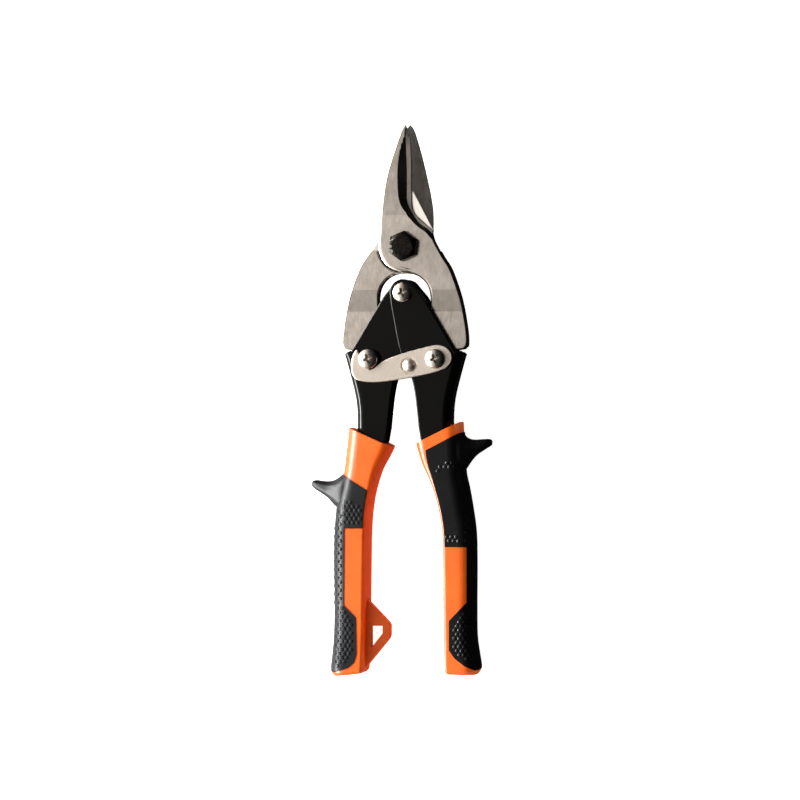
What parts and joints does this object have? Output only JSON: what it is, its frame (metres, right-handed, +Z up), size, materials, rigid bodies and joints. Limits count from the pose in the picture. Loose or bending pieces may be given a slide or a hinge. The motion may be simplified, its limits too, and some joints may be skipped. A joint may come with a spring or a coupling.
{
  "type": "aviation snips",
  "caption": "Compound-action aviation snips with lever-linked jaws and handles, a thumb latch that holds them shut, soft grips, and a lanyard eye.",
  "frame": {"origin": "middle of the main pivot bolt's rear end, on the surface that the tool lies on", "axes": "+Y from the grips to the tips, +Z up along the pivots towards the latch side, +X towards the latch's pivot"},
  "size_m": [0.0824, 0.2512, 0.0268],
  "materials": {
    "forged_steel": "satin",
    "painted_steel": "gloss",
    "black_oxide": "satin",
    "nickel_plate": "polished",
    "orange_plastic": "satin",
    "black_rubber": "matte",
    "nylon": "matte",
    "spring_wire": "satin"
  },
  "bodies": {
    "pivot": {"pivot_bolt": "black_oxide", "pivot_washer": "nickel_plate", "pivot_nut": "black_oxide", "pivot_nut_insert": "nylon"},
    "front_jaw": {"front_jaw": "forged_steel"},
    "rear_jaw": {"rear_jaw": "forged_steel"},
    "left_handle": {"left_handle": "painted_steel", "left_grip_core": "orange_plastic", "left_grip_skin": "black_rubber", "left_pivot_screw": "nickel_plate", "left_pivot_nut": "nickel_plate"},
    "right_handle": {"right_handle": "painted_steel", "right_grip_core": "orange_plastic", "right_grip_skin": "black_rubber", "right_pivot_screw": "nickel_plate", "right_pivot_nut": "nickel_plate", "latch_washer": "nickel_plate", "right_spacer_front": "nickel_plate", "right_spacer_back": "nickel_plate", "centre_pivot_screw": "nickel_plate", "centre_pivot_nut": "nickel_plate", "return_spring": "spring_wire"},
    "latch": {"latch": "nickel_plate"}
  },
  "joints": [
    {"name": "front_jaw_hinge", "type": "hinge", "parent": "pivot", "child": "front_jaw", "pos_m": [0, 0, 0.0123], "axis": [0, 0, 1], "range_deg": [0, 11]},
    {"name": "rear_jaw_hinge", "type": "hinge", "parent": "pivot", "child": "rear_jaw", "pos_m": [0, 0, 0.0123], "axis": [0, 0, 1], "range_deg": [-11, 0]},
    {"name": "left_handle_hinge", "type": "hinge", "parent": "rear_jaw", "child": "left_handle", "pos_m": [-0.0153, -0.0511, 0.0123], "axis": [0, 0, 1], "range_deg": [-9.1, 0]},
    {"name": "right_handle_hinge", "type": "hinge", "parent": "front_jaw", "child": "right_handle", "pos_m": [0.0153, -0.0511, 0.0123], "axis": [0, 0, 1], "range_deg": [0, 9.1]},
    {"name": "latch_hinge", "type": "hinge", "parent": "right_handle", "child": "latch", "pos_m": [0.0153, -0.0511, 0.0123], "axis": [0, 0, 1], "range_deg": [0, 55]}
  ],
  "couplings": [
    {"joint": "rear_jaw_hinge", "follows": "front_jaw_hinge", "ratio": -1},
    {"joint": "left_handle_hinge", "follows": "front_jaw_hinge", "ratio": -0.82},
    {"joint": "right_handle_hinge", "follows": "front_jaw_hinge", "ratio": 0.82},
    {"joint": "latch_hinge", "follows": "front_jaw_hinge", "ratio": 5}
  ]
}
